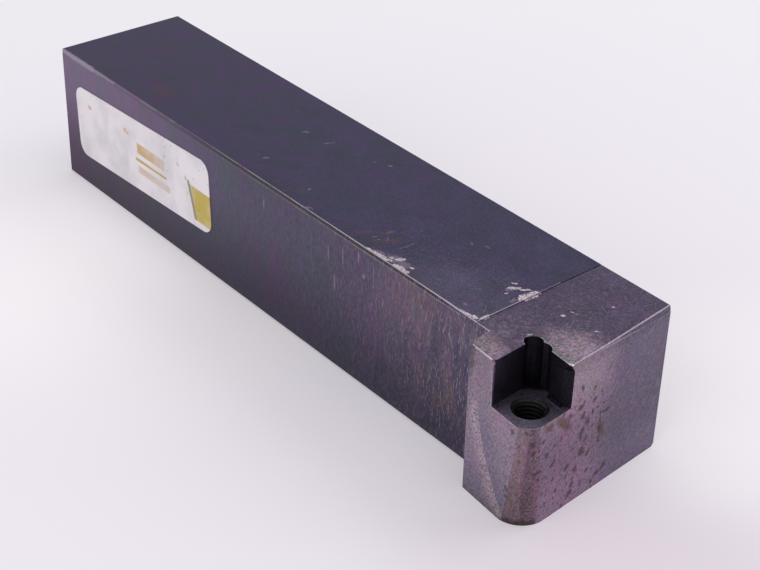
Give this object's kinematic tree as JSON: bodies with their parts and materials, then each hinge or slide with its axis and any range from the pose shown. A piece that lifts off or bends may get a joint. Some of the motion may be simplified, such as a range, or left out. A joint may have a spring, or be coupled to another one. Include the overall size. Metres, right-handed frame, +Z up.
{
  "type": "turning tool holder",
  "caption": "Square shank lathe tool holder with an offset left hand head, an open rhombic insert pocket, a threaded pin hole and a paper label on its side.",
  "frame": {"origin": "on the flat base, on the shank's centreline, 80 mm from the back end", "axes": "+X along the shank to the cutting head, +Y to the side away from the head's overhang, +Z up"},
  "size_m": [0.166, 0.0383, 0.032],
  "materials": {
    "blackened_steel": "worn black oxide on alloy steel, satin, with fine scratches and light rust",
    "label_paper": "matt coated paper sticker, slightly soiled"
  },
  "bodies": {
    "root": {"holder_body": "blackened_steel", "paper_label": "label_paper"}
  },
  "joints": []
}
